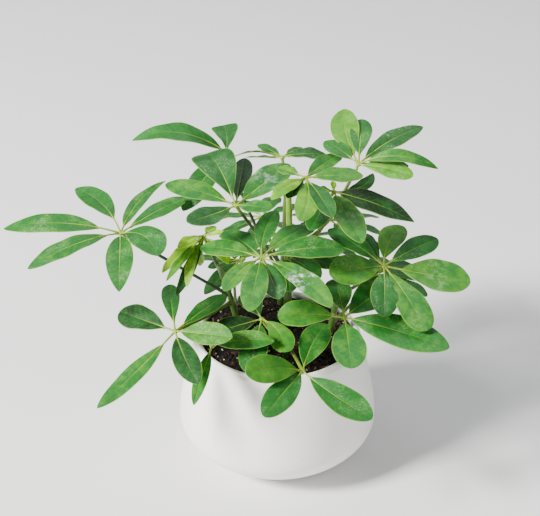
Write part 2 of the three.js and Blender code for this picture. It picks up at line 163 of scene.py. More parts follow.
# Random ranges: the sag of the halves, their waves, and the twist in degrees
BLADE_SAG = (0.04, 0.16)
WAVE_HEIGHT = (0.25, 0.6)
WAVE_COUNT = (1.6, 2.8)
WAVE_PHASE = (0, 6.28)
BLADE_TWIST = 7
CURL_START = 0.62
# Groove on the midrib and ridge under it: depth, width, and how they fade towards the tip
RIB_GROOVE = (0.22, 0.55, 0.5)
RIB_RIDGE = (0.55, 0.6, 0.6)

# A leaflet: bearing and rise of its tip from the hub in degrees, reach, width, bluntness, which is
# 0 if pointed and 1 if round, stalk length, tone from -1 for an old dark leaflet over 2 for one
# just opened to 3 for a bud, which also holds painted shade on leaflets in shade and painted light
# on lit ones, arch and sweep as shares of the reach, how far its tip curls down, how much chalky
# patch it carries, dried water marks and painted sheen, and roll in degrees
Leaflet = namedtuple(
    "Leaflet",
    "bearing rise reach width blunt stalk tone arch sweep curl limed roll",
    defaults=(0.0, 0.05, 0.0, 0.0, 0.0, 0.0),
)
# A frond: its hub, how far and towards which bearing its whorl tilts, the stem and the height on it
# where the petiole starts, how far the petiole sags, its tone, and a row for each leaflet
Frond = namedtuple("Frond", "hub tilt stem at sag stalk_tone leaflets")

# Each row's tone is set leaflet by leaflet to how light or dark it looks, so besides age it paints
# shade on leaflets that lie in shade and light on lit ones
FRONDS = {
    "far_left": Frond((-96.5, -15, 172), (18, -90), "left", 117, 0, -0.9, (
        (179, 2, 72, 17, 0.2, 13, 0, 0.1),
        (-148, -6, 62, 14, 0.3, 10, 0, 0.09),
        (128, 11, 54, 16, 0.4, 13, -0.2, 0.04, -0.08),
        (64, 13, 57, 9, -0.3, 7, 0, 0.02, 0.07, 0.15),
        (40, 10, 50, 13, 0.7, 7, 0, 0.04),
        (-53, 4, 42, 21, 0.5, 3, -0.1, 0.08, 0.12),
        (-86, -14, 51, 17, 0, 3),
    )),
    "low_left": Frond((-63, -45, 120), (22, -100), "left", 112, 2, -0.1, (
        (143.7, -3, 46, 19, 0.8, 8, -1, 0),
        (98, 5, 50, 12, 0.8, 8, -0.4),
        (51.6, 4.5, 48, 13, 0.7, 7, 0, 0.02),
        (-20, 6, 38, 17, 0.4, 4, 0.3, 0.02),
        (-68, -15.5, 44, 16, 0.4, 5, -0.8, 0.03, -0.03),
        (-132, -19, 69, 13, 0.3, 12, 0.1, 0.01, 0.02),
    )),
    "upper_left": Frond((-26, -5, 186), (20, -90), "centre", 128, 0, -0.3, (
        (114, 19, 52, 27, 1.05, 5, -0.45, 0.14, 0, 0.4),
        (156, 6, 49, 16, 0.5, 6, 0.1, 0.06),
        (-138.5, 2.6, 38, 16, 0.5, 4, -0.6, -0.02),
        (49, 11.4, 52, 20, 0.4, 6, 0.1, 0.04, -0.02, 0, 0.3),
        (-50, 17, 35, 13, 0.5, 4, 0, 0.04),
        (84, 13, 48, 14, 0.5, 6, -0.8, 0.04),
    )),
    "top_left": Frond((-33.4, 48, 198), (20, -90), "centre", 118, 14, -0.6, (
        (173, 4.5, 62, 16, 0.1, 3, -0.15, 0.2),
        (95, 17, 27, 18, 1.7, 1, -0.3, 0.05, -0.05),
        (-129, -31, 50, 18, 0.3, 6, -0.4),
    )),
    "middle": Frond((-10, -35, 166), (12, -100), "centre", 120, 8, -0.7, (
        (155, -3, 42, 16, 0.4, 7, 0.2, 0.06),
        (124, 0, 42, 18, 0.5, 5),
        (80, 6, 53, 14, 0.5, 7, 0, 0.03, 0.05),
        (47, 4, 50, 17, 0.4, 8, 0.1, 0.04, 0.04),
        (8, 2, 51, 19, 0.5, 7, 0, 0.08),
        (-52, -3, 65, 15, 0.5, 8, 0.25, 0.05, 0.04, 0, 1),
        (-74, -10, 39, 16, 0.4, 6, -0.5),
        (-97, -6, 53, 16, 0.5, 5, 0.1),
        (-124, -6, 39, 11.5, 0.5, 5, 0.3, 0.05, -0.04),
    )),
    "crown": Frond((17, 5, 200), (16, -60), "centre", 193, 0, 0.4, (
        (-96, -12, 42, 14.5, 0.5, 4, 0.8, 0.05, 0.07),
        (5, 0, 36, 14, 0.4, 5, 0.2, 0.04),
        (59, -2, 46, 13, 0.4, 3, 0.2, 0.04),
        (-126, 3, 35, 10, 0.4, 4, 1.1, 0.05, 0, 0.6),
        (150, 6, 20, 10, 0.5, 5, 0.5),
        (-119, -8, 24, 9, 0.4, 4, -0.8),
        (-68, -11, 41, 13, 0.5, 6, -0.2),
    )),
    "top_right": Frond((51, 25, 200), (22, -110), "centre", 135, 15, 0.2, (
        (97, 14.4, 58, 19, 0.5, 9, 0.65, 0.02, 0.05),
        (83.7, 15.3, 46, 15, 0.6, 8, -0.1),
        (33, 15, 53, 15, 0.3, 6, -0.6, 0.04, 0.04),
        (-12, 2, 50, 11, 0.1, 6, 0.2, 0.19),
        (-28, 0, 37, 13, 0.7, 3, 0.6),
        (14, -8, 34, 12, 0.5, 6, -0.7),
        (129, 8.3, 33, 13, 0.5, 6, -0.1),
    )),
    "right": Frond((66, -15, 149), (24, -70), "right", 118, 3, -0.2, (
        (70, 7, 46, 17, 0.7, 6, 0.5, 0.03, 0.08),
        (38.5, 4.5, 47, 16, 0.6, 6, -0.2),
        (-5, -9, 55, 26, 0.6, 11, 0.3, -0.01, 0, 0, 0.12),
        (-156, 4, 38, 23, 0.6, 3, 0.4, 0.04),
        (-67, -15, 58, 20, 0.9, 8, 0.2),
        (-94, -12, 46, 18, 0.5, 8, -0.2),
        (135, 10, 48, 15, 0.5, 6, -0.3),
        (106, 9, 35, 12, 0.5, 5, -0.7, 0.05, 0.08),
    )),
    "low_right": Frond((40.5, -45, 130), (22, -90), "right", 103, 4, -0.1, (
        (174, -1, 41, 21, 0.7, 7, 0.25),
        (-25, -3, 67, 24.5, 0.4, 5, 0, 0.03),
        (-88, -6, 48, 21, 0.7, 7, 0.1),
        (46, 4, 53, 24, 0.5, 4, -0.1),
        (96, 6, 40, 17, 0.5, 6, 0.1),
    )),
    "front": Frond((15, -62, 102), (28, -80), "front", 103, -2, 0, (
        (71, 6, 49, 18, 0.5, 5, 0.1, 0.02, 0.04),
        (-145, 18, 43, 20, 0.7, 3, 0.4, 0.04, -0.06),
        (-119, -4, 48, 18, 0.6, 3, -0.2),
        (-38, -13, 53, 20, 0.6, 6, -0.1, 0.01, -0.03),
    )),
    "low_centre": Frond((-10, -20, 113), (10, -100), "front", 96, 2, 0.3, (
        (-163, -9, 34, 18, 0.5, 4, -1.3, 0.03),
        (113, 4, 32, 15, 0.5, 4, -0.6),
        (-65, -8, 33, 15.5, 1, 3, 0.4, 0.05, 0.11, 0.2),
        (-100, -13, 46.6, 18, 0.6, 5, -0.4, 0.04),
    )),
    "upper_right": Frond((35.4, 15, 185.4), (16, -60), "centre", 156, 4, 0.1, (
        (-21, -12, 54, 20, -0.2, 4, -1.2, 0.03, 0.03),
        (-73, -11, 52, 18.5, 0.4, 4, 0.3, 0.05, -0.03, 0, 0.12),
        (47, -0.5, 39, 9, 0.2, 8, -0.6, 0, -0.14),
        (-110, -4, 48, 15, 0.5, 8, -0.2),
        (-140, 23, 15, 6, 0.5, 3, 1, 0.08),
        (93, 25, 9, 4, 0.5, 2, 1.5),
    )),
    "young": Frond((-47, 5, 159), (5, 60), "left", 130, 0, -0.3, (
        (-128.4, -12.5, 40, 10, 0.3, 4, 1.8, 0.06),
        (-119, 10, 30, 8, 0.3, 5, 1.7, 0.1),
        (-102, -18, 43, 6.6, 0.3, 7, 1.2, 0.05, -0.04),
        (-109, -21, 49, 8, 0.3, 6, -0.9, 0.05, 0.03),
        (-47, -22, 26, 11, 0.3, 3, 2, 0.08),
        (-15, 13, 18, 8, 0.3, 4, 1.8, 0.1),
        (61, 5, 14, 7, 0.4, 3, 1.2),
        (-116, -9, 48, 6, 0.1, 10, 0.8, 0.04),
        (-95, -28, 22, 5, 0.5, 12, 2.65),
    )),
    "top_back": Frond((3, 55, 191), (6, -90), "back", 170, 0, 0.1, (
        (141, 9, 21, 8, 0.4, 2, -0.2),
        (41, 6, 18, 8, 0.4, 4, -0.2),
        (-178, 3, 31, 5, 0.3, 4, -0.9, 0.12, 0, 0, 0, 30),
        (-179, 1, 23.6, 5, 0.3, 4, -0.9, 0.03, 0, 0, 0, 30),
        (4, 0, 30, 13, 0.3, 4, -0.7, 0.08),
    )),
    "low_rim": Frond((-40.6, -42, 107.5), (16, -90), "left", 97, 2, 0.1, (
        (-9, 10.6, 39.6, 15, 0.2, 4, 0.3, 0.08),
        (-103, -18, 46, 9, 0.3, 6, 0.3),
    )),
    "inner": Frond((4.6, 0, 149), (20, -70), "centre", 133, 0, 0.3, (
        (-42, -12, 30, 16, 0.5, 5, -0.1),
        (-10, -10, 34, 13, 0.5, 5, -0.6),
        (17, -12, 38, 13, 0.5, 5, -0.1),
        (-84, -23, 30, 14, 0.5, 5, -0.9),
    )),
    "inner_left": Frond((-22.6, 24, 132), (20, -110), "left", 121, 0, -0.4, (
        (-138, -22, 36, 12, 0.3, 5, -0.7),
        (-175, -12, 24, 9, 0.4, 5, -0.8),
    )),
}

# Fronds behind the others carry evenly spread leaflets, drawn by one rule
BackFrond = namedtuple("BackFrond", "hub tilt stem at sag count first last reach")
BACK_FRONDS = {
    "back_middle": BackFrond((-10, 76, 136), (14, 100), "back", 112, 6, 6, 40, 260, 40),
    "back_right": BackFrond((36, 68, 138), (14, 70), "back", 124, 6, 6, -60, 150, 38),
    "back_low": BackFrond((16, 92, 110), (18, 80), "back", 96, 4, 6, -20, 200, 42),
    "back_left": BackFrond((-30, 46, 116), (16, 120), "left", 98, 6, 4, 40, 150, 34),
    "side_right": BackFrond((64, 34, 114), (16, 20), "right", 96, 6, 6, -60, 110, 40),
}
BACK_RISE = -9
BACK_WIDTH = 17
BACK_BLUNT = 0.5
BACK_STALK = 6
BACK_TONE = -0.3
BACK_SPREAD = {"bearing": 6, "rise": 4, "reach": 0.12, "width": 0.1, "tone": 0.3}

# Camera: where it stands, how far it looks down, and its lens
CAMERA_PLACE = (-4.9, -691.6, 533.4)
CAMERA_PITCH = 29.24
CAMERA_LENS = 83.33
CAMERA_SENSOR = 36.0
CAMERA_NEAR_M = 0.01

# Floor and lights, in metres: what sets a light's power, its size, place and aim, and its colour
FLOOR_REACH_M = 6.0
FLOOR_SEGMENTS = 8
Light = namedtuple("Light", "power size place aim colour")
LIGHTS = {
    "window_light": Light("key", 0.6, (-1.95, -0.95, 1.6), (0, 0, 0.1), (1.0, 0.985, 0.96)),
    "ceiling_light": Light("ceiling", 1.0, (0.15, 0.75, 1.6), (0, 0, 0.12), (1.0, 1.0, 1.0)),
    "fill_light": Light("fill", 1.2, (1.2, -0.6, 0.8), (0, 0, 0.12), (0.94, 0.97, 1.0)),
}
SKY_COLOUR = (0.93, 0.95, 1.0, 1.0)

# Patterns in the glaze and the rind
SPECK_SPACING = 9.0
CORK_SPACING = 4.5
# Heights over which the rind darkens towards the soil: older rind, and painted shade under the
# leaves
RIND_DARKENED_UP_TO = (120, 170)

# Where a leaflet's shader reads its place and its look from, on each vertex
LEAF_PLACE = "leaf_place"
LEAF_LOOK = "leaf_look"
LEAF_UNDER = "leaf_under"
LEAF_WATER_MARKS_AND_SHEEN = "leaf_limed"
LEAF_TONES = {"old": -1.3, "grown": 0.0, "young": 1.0, "shoot": 2.0, "bud": 3.0}
VEIN_SPACING = 4.4
VEIN_SLANT = 0.85
VEIN_WANDER = 5.0
RIB_HALF_WIDTH = 0.34
RIB_TIP_FACTOR = 0.3
PORE_SIZE = 0.55
DUST = (0.5, 0.57, 0.44)
# Chalky pale colour: dried water marks, and painted sheen where the waxy face catches the light
WATER_MARK_AND_SHEEN_COLOUR = (0.72, 0.78, 0.76)


def linear(colour):
    """A linear colour from an sRGB hex number."""
    def channel(shift):
        value = (colour >> shift & 255) / 255
        return value / 12.92 if value <= 0.04045 else ((value + 0.055) / 1.055) ** 2.4

    return tuple(channel(shift) for shift in (16, 8, 0))


def length_property(name, description, default):
    """A size in millimetres that a user may change."""
    return FloatProperty(name=name, description=description, default=default, min=0.0)


def colour_property(name, description, colour):
    """A colour that a user may change, given as an sRGB hex number."""
    return FloatVectorProperty(
        name=name, description=description, default=linear(colour), subtype="COLOR",
        min=0.0, max=1.0,
    )


def power_property(name, description, default):
    """A light's power in watts that a user may change."""
    return FloatProperty(name=name, description=description, default=default, unit="POWER")


# Settings

class PLANT_PG_pot(bpy.types.PropertyGroup):
    """Sizes and colours of the pot."""

    wall: length_property("Wall", "Thickness of the pot's wall in millimetres", POT_WALL)
    glaze: colour_property("Glaze", "Warm white satin glaze", 0xF7F4F0)
    speck: colour_property("Speck", "Iron specks that show through the glaze", 0x8F8276)
    clay: colour_property("Clay", "Bare fired clay under the pot", 0xCFC3B2)


class PLANT_PG_soil(bpy.types.PropertyGroup):
    """Grains and colours of the soil."""

    peat: colour_property("Peat", "Moist peat", 0x180F0B)
    bark: colour_property("Bark", "Chips of composted bark", 0x452517)
    perlite: colour_property("Perlite", "White grains of expanded perlite", 0xC9C2B4)
    crumbs: IntProperty(name="Crumbs", description="Number of peat crumbs", default=1500, min=0)
    chips: IntProperty(name="Chips", description="Number of bark chips", default=420, min=0)
    grains: IntProperty(name="Grains", description="Number of perlite grains", default=160, min=0)


class PLANT_PG_stems(bpy.types.PropertyGroup):
    """Colours of the stems."""

    rind: colour_property("Rind", "Green rind of a young stem", 0x7FAA2C)
    # Darker rind low on the stems: older rind, and painted shade under the leaves
    darkened: colour_property("Aged rind", "Darker rind low on the stems", 0x2C4A1A)
    cork: colour_property("Cork", "Corky dots on the rind", 0x9C8A5C)


class PLANT_PG_leaves(bpy.types.PropertyGroup):
    """Sizes and colours of the leaflets."""

    thickness: length_property("Thickness", "Leaflet thickness in millimetres", BLADE_THICKNESS)
    old: colour_property("Old leaf", "Upper side of an old leaflet", 0x092B0A)
    grown: colour_property("Grown leaf", "Upper side of a grown leaflet", 0x1F6522)
    young: colour_property("Young leaf", "Upper side of a young leaflet", 0x589614)
    shoot: colour_property("Shoot", "Leaflets that have just opened", 0xA6D400)
    bud: colour_property("Bud", "Leaflets that are still folded", 0xE6E8B8)
    underside: colour_property("Underside", "Paler lower side", 0x6E9650)
    rib: colour_property("Rib", "Midribs, hubs and leaflet stalks", 0x94B42E)
    stalk: colour_property("Stalk", "Old leaf stalk", 0x1F400C)


class PLANT_PG_stage(bpy.types.PropertyGroup):
    """Floor and lights round the plant."""

    floor: colour_property("Floor", "Plain pale floor", 0xF0EFEF)
    key: power_property("Key", "Power of the soft window light", 225.0)
    fill: power_property("Fill", "Power of the fill light", 5.0)
    ceiling: power_property("Ceiling", "Power of the light from above", 8.0)
    sky: FloatProperty(name="Sky", description="Strength of the light from all round", default=0.38)


# Meshes

def direction(bearing, rise):
    """Unit vector at a bearing from +X round to +Y and a rise above level, in degrees."""
    level = math.cos(math.radians(rise))
    turn = math.radians(bearing)
    return Vector((level * math.cos(turn), level * math.sin(turn), math.sin(math.radians(rise))))


def bezier_point(points, share):
    """The point at a share of a quadratic curve given by its start, handle and end."""
    start, handle, end = points
    rest = 1 - share
    return start * rest * rest + handle * 2 * rest * share + end * share * share


def heading(path, share):
    """Which way a path runs at a share of it."""
    ahead = path(min(1.0, share + NEAR)) - path(max(0.0, share - NEAR))
    ahead.normalize()
    return ahead


def smooth_step(low, high, value):
    """0 below low, 1 above high, with a soft change between."""
    share = min(1.0, max(0.0, (value - low) / (high - low)))
    return share * share * (3 - 2 * share)


def bell(value, width):
    """1 at zero, falling away evenly on both sides."""
    return math.exp(-((value / width) ** 2))


def grid_verts(bm, columns, rows):
    """The vertices of a new flat grid that runs from -1 to 1 both ways."""
    return bmesh.ops.create_grid(bm, x_segments=columns, y_segments=rows, size=1.0)["verts"]


def faces_of(verts):
    """The faces that vertices belong to."""
    return {face for vert in verts for face in vert.link_faces}


def linked_object(name, data):
    """A new object in the scene."""
    thing = bpy.data.objects.new(name, data)
    bpy.context.scene.collection.objects.link(thing)
    return thing


def mesh_object(name, bm, materials):
    """A new object in the scene, made of a bmesh that is used up here."""
    mesh = bpy.data.meshes.new(name)
    bm.to_mesh(mesh)
    bm.free()
    for material in materials:
        mesh.materials.append(material)
    return linked_object(name, mesh)


def finished_piece(name, bm, materials, nodes):
    """Turns a bmesh in millimetres into a piece in metres that stands for its CAD nodes."""
    bmesh.ops.scale(bm, vec=(MM, MM, MM), verts=bm.verts)
    for edge in bm.edges:
        edge.smooth = len(edge.link_faces) == 2 and edge.calc_face_angle(0.0) < SHARP_EDGE
    for face in bm.faces:
        face.smooth = True
    piece = mesh_object(name, bm, materials)
    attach(piece, "root")
    if nodes:
        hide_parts(*nodes)


def spun(profile, steps):
    """A closed solid of revolution round Z, from a profile of (radius, height) points."""
    bm = bmesh.new()
    verts = [bm.verts.new((radius, 0, height)) for radius, height in profile]
    edges = [bm.edges.new(pair) for pair in zip(verts, verts[1:])]
    bmesh.ops.spin(
        bm, geom=verts + edges, cent=(0, 0, 0), axis=(0, 0, 1),
        angle=2 * math.pi, steps=steps, use_merge=True,
    )
    bmesh.ops.remove_doubles(bm, verts=bm.verts, dist=POT_MERGE_DISTANCE)
    bmesh.ops.recalc_face_normals(bm, faces=bm.faces)
    return bm


def rolled_tube(bm, path, radius, sides, steps, material_index):
    """Rolls a grid into a closed tube along a path, with round ends. Returns its vertices."""
    verts = grid_verts(bm, steps, sides)
    reference = (path(1.0) - path(0.0)).orthogonal().normalized()
    rings = {}
    for vert in verts:
        share = (vert.co.x + 1) / 2
        angle = (vert.co.y + 1) * math.pi
        key = round(share * steps)
        if key not in rings:
            along = heading(path, share)
            side = (reference - along * reference.dot(along)).normalized()
            end = key in (0, steps)
            rings[key] = (path(share), side, along.cross(side), 0.0 if end else radius(share))
        centre, side, up, reach = rings[key]
        vert.co = centre + (side * math.cos(angle) + up * math.sin(angle)) * reach
    for face in faces_of(verts):
        face.material_index = material_index
    bmesh.ops.remove_doubles(bm, verts=verts, dist=MERGE_DISTANCE)
    return [vert for vert in verts if vert.is_valid]


# Materials

def new_material(name):
    """An empty node material."""
    material = bpy.data.materials.new(name)
    material.use_nodes = True
    material.node_tree.nodes.clear()
    return material


def add_node(kind, inputs, tree=None, **settings):
    """Adds a shader node with its settings. An input is a number, a colour or a socket that feeds
    it, and the node joins the tree of its sockets unless one is given.
    """
    sockets = {key for key, value in inputs.items() if isinstance(value, bpy.types.NodeSocket)}
    tree = tree or next(inputs[key].id_data for key in sockets)
    node = tree.nodes.new(kind)
    for key, value in settings.items():
        setattr(node, key, value)
    for key, value in inputs.items():
        if key in sockets:
            tree.links.new(value, node.inputs[key])
        else:
            node.inputs[key].default_value = value
    return node


def maths(operation, *values):
    """The result of one sum on values, each a socket or a number."""
    return add_node("ShaderNodeMath", dict(enumerate(values)), operation=operation).outputs[0]


def product(first, *others):
    """Values multiplied together."""
    for other in others:
        first = maths("MULTIPLY", first, other)
    return first


def weighted_sum(*terms):
    """The sum of values, each given with its weight."""
    total = 0.0
    for value, weight in terms:
        total = maths("MULTIPLY_ADD", value, weight, total)
    return total


def ranged(value, low, high, to_low=0.0, to_high=1.0, shape="SMOOTHSTEP"):
    """A value turned from one range to another, smoothly unless the shape says otherwise."""
    inputs = {
        "Value": value, "From Min": low, "From Max": high, "To Min": to_low, "To Max": to_high,
    }
    return add_node("ShaderNodeMapRange", inputs, interpolation_type=shape).outputs["Result"]


def shade(colour, factor):
    """A linear colour made darker or paler by a factor."""
    return tuple(min(1.0, channel * factor) for channel in colour)


def mixed(share, first, second):
    """Two colours mixed by a share. Each is a socket or a linear colour."""
    ends = [
        value if isinstance(value, bpy.types.NodeSocket) else (*value, 1.0)
        for value in (first, second)
    ]
    inputs = {0: share, 6: ends[0], 7: ends[1]}
    return add_node("ShaderNodeMix", inputs, data_type="RGBA").outputs[2]


def ramped(share, stops):
    """A colour from a ramp of places and linear colours, the first at 0 and the last at 1."""
    ramp = add_node("ShaderNodeValToRGB", {"Fac": share})
    elements = ramp.color_ramp.elements
    elements[0].color = (*stops[0][1], 1.0)
    elements[1].color = (*stops[-1][1], 1.0)
    for place, colour in stops[1:-1]:
        elements.new(place).color = (*colour, 1.0)
    return ramp.outputs["Color"]


def object_place(material):
    """The place on the object, in metres, that patterns read."""
    return add_node("ShaderNodeTexCoord", {}, material.node_tree).outputs["Object"]


def parts_of(vector):
    """The three numbers of a vector."""
    return add_node("ShaderNodeSeparateXYZ", {"Vector": vector}).outputs


def speckle(vector, size_mm, detail=2.0, roughness=0.5):
    """Soft noise with blobs of about a size in millimetres, on coordinates in metres."""
    inputs = {
        "Scale": 1 / (size_mm * MM), "Detail": detail, "Roughness": roughness, "Vector": vector,
    }
    return add_node("ShaderNodeTexNoise", inputs).outputs["Fac"]


def relief(height, strength, depth_mm):
    """The way the surface faces once a height pattern bends it."""
    inputs = {"Strength": strength, "Distance": depth_mm * MM, "Height": height}
    return add_node("ShaderNodeBump", inputs).outputs["Normal"]


def finish_material(material, inputs):
    """Ends a material in one Principled shader."""
    shader = add_node("ShaderNodeBsdfPrincipled", inputs)
    add_node("ShaderNodeOutputMaterial", {"Surface": shader.outputs["BSDF"]})
    return material


def satin_glaze(settings):
    """Satin glaze on stoneware: warm white, softly uneven, with a few iron specks."""
    material = new_material("satin_glazed_stoneware")
    place = object_place(material)
    cloud = speckle(place, 38, 3.0)
    fine = speckle(place, 2.2)
    cells = add_node(
        "ShaderNodeTexVoronoi",
        {"Scale": 1 / (SPECK_SPACING * MM), "Randomness": 1.0, "Vector": place},
    ).outputs
    chance = add_node("ShaderNodeSeparateColor", {"Color": cells["Color"]}).outputs[0]
    speck = product(
        ranged(cells["Distance"], 0.035, 0.06, 1.0, 0.0), ranged(chance, 0.72, 0.8), 0.65
    )
    thin = shade(settings.glaze, 0.93)
    colour = mixed(ranged(cloud, 0.35, 0.7, 0.0, 0.6), settings.glaze, thin)
    colour = mixed(ranged(fine, 0.45, 0.7, 0.0, 0.5), colour, thin)
    return finish_material(material, {
        "Base Color": mixed(speck, colour, settings.speck),
        "Roughness": ranged(fine, 0.3, 0.7, 0.36, 0.46),
        "IOR": 1.5,
        "Specular IOR Level": 0.45,
        "Normal": relief(weighted_sum((cloud, 0.7), (fine, 0.3)), 0.35, 0.4),
    })


def bare_clay(settings):
    """Fired clay left unglazed under the pot: dry, sandy and matte."""
    material = new_material("bare_fired_clay")
    grit = speckle(object_place(material), 0.7, 3.0)
    return finish_material(material, {
        "Base Color": mixed(grit, shade(settings.clay, 0.7), settings.clay),
        "Roughness": 0.9,
        "Specular IOR Level": 0.3,
        "Normal": relief(grit, 0.6, 0.2),
    })


def moist_peat(settings):
    """Moist peat: nearly black brown, with reddish fibres and a dull broken surface."""
    material = new_material("moist_peat")
    place = object_place(material)
    patch = speckle(place, 4.0, 4.0)
    grit = speckle(place, 0.8, 3.0)
    colour = mixed(ranged(patch, 0.3, 0.7), shade(settings.peat, 0.35), settings.peat)
    return finish_material(material, {
        "Base Color": mixed(ranged(grit, 0.62, 0.8, 0.0, 0.5), colour, settings.bark),
        "Roughness": ranged(grit, 0.3, 0.7, 0.7, 0.95),
        "Specular IOR Level": 0.35,
        "Normal": relief(weighted_sum((patch, 1.0), (grit, 0.4)), 0.9, 0.8),
    })


def composted_bark(settings):
    """Composted pine bark: flat red-brown flakes with a fibrous grain."""
    material = new_material("composted_bark")
    place = object_place(material)
    patch = speckle(place, 3.0)
    grain = speckle(place, 0.6, 3.0)
    colour = mixed(ranged(patch, 0.3, 0.7), shade(settings.bark, 0.3), settings.bark)
    pale = shade(settings.bark, 2.2)
    return finish_material(material, {
        "Base Color": mixed(ranged(grain, 0.55, 0.8, 0.0, 0.4), colour, pale),
        "Roughness": 0.78,
        "Normal": relief(grain, 0.7, 0.3),
    })


def expanded_perlite(settings):
    """Expanded perlite: chalky white glass foam, pitted and a little stained by the peat."""
    material = new_material("expanded_perlite")
    place = object_place(material)
    stain = ranged(speckle(place, 2.0), 0.45, 0.75, 0.0, 0.6)
    return finish_material(material, {
        "Base Color": mixed(stain, settings.perlite, settings.bark),
        "Roughness": 0.85,
        "Normal": relief(speckle(place, 0.4), 0.8, 0.2),
    })


def green_rind(settings):
    """Green rind of a young stem: smooth and satin, with paler streaks and a few corky dots."""
    material = new_material("green_stem_rind")
    place = object_place(material)
    drawn_out = add_node("ShaderNodeMapping", {"Scale": (1.0, 1.0, 0.12), "Vector": place})
    streak = speckle(drawn_out.outputs["Vector"], 1.6)
    dots = add_node("ShaderNodeTexVoronoi", {"Scale": 1 / (CORK_SPACING * MM), "Vector": place})
    cork = ranged(dots.outputs["Distance"], 0.06, 0.12, 0.55, 0.0)
    # Darker towards the soil: older rind, and painted shade under the leaves
    low, high = RIND_DARKENED_UP_TO
    darkened = ranged(parts_of(place)["Z"], low * MM, high * MM, 0.85, 0.0)
    colour = mixed(ranged(streak, 0.3, 0.7), shade(settings.rind, 0.7), settings.rind)
    colour = mixed(darkened, colour, settings.darkened)
    return finish_material(material, {
        "Base Color": mixed(cork, colour, settings.cork),
        "Roughness": 0.4,
        "Subsurface Weight": 0.15,
        "Subsurface Scale": 2.0 * MM,
        "Normal": relief(weighted_sum((streak, 0.5), (cork, 1.0)), 0.3, 0.2),
    })


def leaf_attribute(material, name, output="Vector"):
    """What each vertex of a frond carries under a name."""
    node = add_node("ShaderNodeAttribute", {}, material.node_tree, attribute_name=name)
    return node.outputs[output]


def leaf_blade(settings):
    """Waxy leaf blade: a satin cuticle over mottled green, a hair-thin midrib and dusty flecks,
    with chalky pale patches on a few leaflets, partly dried water marks and partly painted sheen.

    The underside is paler and dull. The patterns follow the leaflet: they read the place along
    and across it in millimetres.
    """
    material = new_material("waxy_leaf_blade")
    along, across, share = parts_of(leaf_attribute(material, LEAF_PLACE))
    tone, seed, edge = parts_of(leaf_attribute(material, LEAF_LOOK))
    under = leaf_attribute(material, LEAF_UNDER, "Fac")
    limed = leaf_attribute(material, LEAF_WATER_MARKS_AND_SHEEN, "Fac")
    place = {"X": product(along, MM), "Y": product(across, MM), "Z": seed}
    flat = add_node("ShaderNodeCombineXYZ", place).outputs["Vector"]
    draw = add_node("ShaderNodeTexWhiteNoise", {"W": seed}, noise_dimensions="1D")
    chance = draw.outputs["Value"]
    cloud = speckle(flat, 14)
    mottle = speckle(flat, 4.5, 4.0, 0.65)
    fleck = speckle(flat, 1.1, 3.0, 0.7)
    pores = speckle(flat, PORE_SIZE, 1.0)

    across_size = maths("ABSOLUTE", across)
    slanted = weighted_sum((along, 1.0), (across_size, -VEIN_SLANT), (mottle, VEIN_WANDER))
    wave = maths("PINGPONG", maths("DIVIDE", slanted, VEIN_SPACING), 0.5)
    vein = ranged(wave, 0.0, 0.08, 1.0, 0.0)
    rib_half = ranged(share, 0.0, 0.9, RIB_HALF_WIDTH, RIB_HALF_WIDTH * RIB_TIP_FACTOR)
    rib = product(
        ranged(maths("DIVIDE", across_size, rib_half), 0.5, 1.2, 1.0, 0.0),
        ranged(share, 0.1, 1.0, 0.85, 0.25),
        ranged(chance, 0.0, 0.7, 0.45, 1.0),
    )
    margin = product(ranged(edge, 0.94, 0.99), 0.5)
    dusty = product(
        ranged(fleck, 0.48, 0.72),
        ranged(cloud, 0.46, 0.68),
        ranged(chance, 0.1, 1.0, 0.12, 0.45),
        ranged(tone, -1.2, -0.4, 0.15, 1.0),
    )
    # Chalky patches midway along a few leaflets: dried water marks, with painted sheen on the waxy
    # face
    from_middle = maths("ABSOLUTE", maths("SUBTRACT", share, 0.5))
    limed = product(
        limed,
        ranged(from_middle, 0.04, 0.2, 1.0, 0.0),
        ranged(mottle, 0.44, 0.62),
        ranged(fleck, 0.38, 0.6, 0.25, 1.0),
    )
    patchy = weighted_sum(
        (tone, 1.0),
        (ranged(cloud, 0.3, 0.7, -0.25, 0.15), 1.0),
        (ranged(mottle, 0.38, 0.7, -0.12, 0.36), 1.0),
    )
    # The tone picks a colour on the ramp from old to bud: leaf age, and painted shade and light set
    # per leaflet
    oldest, newest = LEAF_TONES["old"], LEAF_TONES["bud"]
    base = ramped(ranged(patchy, oldest, newest, shape="LINEAR"), [
        ((tone_of_stage - oldest) / (newest - oldest), getattr(settings, stage))
        for stage, tone_of_stage in LEAF_TONES.items()
    ])
    colour = mixed(product(vein, 0.09), base, settings.rib)
    colour = mixed(dusty, colour, DUST)
    colour = mixed(limed, colour, WATER_MARK_AND_SHEEN_COLOUR)
    colour = mixed(margin, colour, settings.rib)
    colour = mixed(under, colour, mixed(0.7, base, settings.underside))
    satin = ranged(cloud, 0.3, 0.7, 0.44, 0.52)
    height = weighted_sum((vein, -0.4), (pores, 0.3), (mottle, 0.5))
    return finish_material(material, {
        "Base Color": mixed(rib, colour, settings.rib),
        "Roughness": weighted_sum((satin, 1.0), (under, 0.25)),
        "IOR": 1.48,
        "Specular IOR Level": 0.36,
        "Subsurface Weight": 0.2,
        "Subsurface Radius": (0.25, 0.6, 0.12),
        "Subsurface Scale": 3.0 * MM,
        "Normal": relief(height, 0.4, 0.25),
    })


